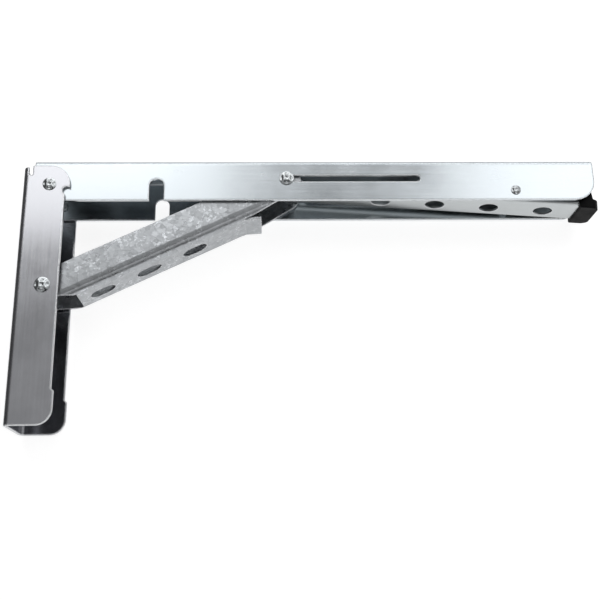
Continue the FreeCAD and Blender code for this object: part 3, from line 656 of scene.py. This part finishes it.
class BRACKET_OT_set_stage(bpy.types.Operator):
    """Sets the white backdrop, the bounce card, the dark flags, the softboxes, the room and the camera"""

    bl_idname = "bracket.set_stage"
    bl_label = "Set Stage"

    def execute(self, context):
        scene = context.scene
        stage = scene.bracket_stage
        scene.view_settings.view_transform = "Standard"
        self.hang_backdrop(stage)
        self.place_flags()
        self.hang_lamps(scene, stage)
        self.light_room(scene, stage)
        self.stand_camera(scene, stage)
        return {"FINISHED"}

    def hang_backdrop(self, stage):
        """The backdrop stands close behind the bracket, from a little left of it onwards. The wings behind it
        carry the white on past the picture's edges, and the metal doesn't mirror them. A bounce card of the
        same sheet lies below, and the camera doesn't see it."""
        gap = 0.4 * MM
        wing_gap = 0.2 * MM
        behind = CAD_BOX[1][1] + gap
        white = self.white_sheet(stage)
        self.card("backdrop", (0.76, behind, 0), (1.6, 3), (0, 1, 0), white)
        wings = self.card("backdrop_wings", (0.15, behind + wing_gap, 0), (6, 6), (0, 1, 0), white)
        wings.visible_glossy = False
        self.card("bounce", (0.15, -0.23, -0.4), (4, 0.46), (0, 0, -1), white).visible_camera = False

    def place_flags(self):
        """A grey flag stands at the left and a near-black one lies low in front. They give the metal
        something darker to mirror, and the camera doesn't see them."""
        for name, middle, size, rear, shade in (
                ("flag_left", (-0.6, 0, 0.3), (1.9, 2.6), (-1, 0, 0), "#7A7A7A"),
                ("flag_low", (0.175, -1.05, -0.4), (0.75, 1.1), (0, 0, -1), "#101010")):
            self.card(name, middle, size, rear, self.flag_cloth(shade)).visible_camera = False

    def hang_lamps(self, scene, stage):
        """Three softboxes in front and a strip light above. A lamp's power is its radiance times pi times its
        area, and it leans by so many degrees from facing straight down."""
        for name, middle, size, lean, radiance in (
                ("softbox_left", (-0.24, -1, 0.79), (0.62, 0.72), 90, stage.lamp),
                ("softbox_middle", (0.25, -1, 0.7), (0.36, 0.8), 90, stage.fill),
                ("softbox_right", (0.78, -1, 0.65), (0.7, 0.7), 90, stage.balance * stage.lamp),
                ("strip_overhead", (0.2, -0.6, 1.15), (1.7, 0.35), 30, stage.overhead)):
            lamp = bpy.data.lights.new(name, "AREA")
            lamp.shape = "RECTANGLE"
            lamp.size, lamp.size_y = size
            lamp.energy = radiance * math.pi * size[0] * size[1]
            box = bpy.data.objects.new(name, lamp)
            scene.collection.objects.link(box)
            box.location = middle
            box.rotation_euler = (math.radians(lean), 0, 0)
            box.visible_camera = False

    def light_room(self, scene, stage):
        """An even pale room all round."""
        world = bpy.data.worlds.new("pale_room")
        world.use_nodes = True
        tree = world.node_tree
        tree.nodes.clear()
        glow = add(tree, "Background", {"Color": (1, 1, 1, 1), "Strength": stage.room})
        add(tree, "OutputWorld", {"Surface": glow.outputs[0]})
        scene.world = world

    def stand_camera(self, scene, stage):
        """The camera stands in front and below, and looks up at the bracket."""
        lens = bpy.data.cameras.new("camera")
        lens.lens = stage.lens
        lens.sensor_width = stage.sensor
        lens.clip_start = 10 * MM
        camera = bpy.data.objects.new("camera", lens)
        scene.collection.objects.link(camera)
        camera.location = stage.spot
        camera.rotation_euler = stage.turn
        scene.camera = camera

    def card(self, name, middle, size, rear, material):
        """A flat card of the stage. Rear is the direction that its back looks in."""
        back = Vector(rear)
        across = Vector((1, 0, 0)) if back.z else back.cross(Vector((0, 0, 1)))
        across = across.normalized() * size[0] / 2
        up = across.cross(back).normalized() * size[1] / 2
        corners = [Vector(middle) + a * across + b * up for a, b in ((-1, -1), (1, -1), (1, 1), (-1, 1))]
        mesh = bpy.data.meshes.new(name)
        mesh.from_pydata(corners, [], [(0, 1, 2, 3)])
        if mesh.polygons[0].normal.dot(back) > 0:
            mesh.flip_normals()
        piece = bpy.data.objects.new(name, mesh)
        bpy.context.scene.collection.objects.link(piece)
        coat(piece, material)
        return piece

    def white_sheet(self, stage):
        """Matt white sheet. Its back lets everything through, and no lamp is stopped by it, so the far side
        of the bracket is lit too. Looked at, or mirrored, it also glows, so that it stays white."""
        made = blank("white_backdrop")
        tree = made.node_tree
        rays = add(tree, "LightPath").outputs
        seen = add(tree, "Math", {0: rays["Is Camera Ray"], 1: rays["Is Glossy Ray"]}, operation="MAXIMUM")
        seen = add(tree, "Math", {0: seen.outputs[0], 1: rays["Is Transmission Ray"]}, operation="MAXIMUM")
        lift = add(tree, "Math", {0: seen.outputs[0], 1: stage.glow}, operation="MULTIPLY")
        glow = add(tree, "Emission", {"Color": (1, 1, 1, 1), "Strength": lift.outputs[0]})
        matt = add(tree, "BsdfDiffuse", {"Color": (*stage.backdrop, 1)})
        both = add(tree, "AddShader", {0: glow.outputs[0], 1: matt.outputs[0]})
        back = add(tree, "NewGeometry").outputs["Backfacing"]
        through = add(tree, "Math", {0: back, 1: rays["Is Shadow Ray"]}, operation="MAXIMUM")
        clear = add(tree, "BsdfTransparent")
        face = add(tree, "MixShader", {0: through.outputs[0], 1: both.outputs[0], 2: clear.outputs[0]})
        add(tree, "OutputMaterial", {"Surface": face.outputs[0]})
        return made

    def flag_cloth(self, shade):
        """Matt cloth of a flag, in its own grey."""
        made = blank("flag_cloth")
        tree = made.node_tree
        matt = add(tree, "BsdfDiffuse", {"Color": (*linear(shade), 1)})
        add(tree, "OutputMaterial", {"Surface": matt.outputs[0]})
        return made


class BRACKET_PT_panel(bpy.types.Panel):
    """Lists the bracket's steps and settings"""

    bl_idname = "BRACKET_PT_panel"
    bl_label = "Drop Leaf Bracket"
    bl_space_type = "VIEW_3D"
    bl_region_type = "UI"
    bl_category = "Bracket"

    def draw(self, context):
        for step in STEPS:
            self.layout.operator(step.bl_idname)
        for group, name in GROUPS.items():
            settings = getattr(context.scene, name)
            box = self.layout.box()
            for setting in group.__annotations__:
                box.prop(settings, setting)


GROUPS = {BracketFinish: "bracket_finish", BracketRivets: "bracket_rivets", BracketSpring: "bracket_spring",
          BracketStage: "bracket_stage"}
STEPS = (BRACKET_OT_dress_arms, BRACKET_OT_dress_strut, BRACKET_OT_dress_lever, BRACKET_OT_turn_rivets,
         BRACKET_OT_bend_spring, BRACKET_OT_set_stage)


def register():
    for kind in (*GROUPS, *STEPS, BRACKET_PT_panel):
        bpy.utils.register_class(kind)
    for group, name in GROUPS.items():
        setattr(bpy.types.Scene, name, PointerProperty(type=group))


def unregister():
    for name in GROUPS.values():
        delattr(bpy.types.Scene, name)
    for kind in reversed((*GROUPS, *STEPS, BRACKET_PT_panel)):
        bpy.utils.unregister_class(kind)


def main():
    register()
    bpy.ops.bracket.dress_arms()
    bpy.ops.bracket.dress_strut()
    bpy.ops.bracket.dress_lever()
    bpy.ops.bracket.turn_rivets()
    bpy.ops.bracket.bend_spring()
    bpy.ops.bracket.set_stage()


if __name__ == "__main__":
    main()
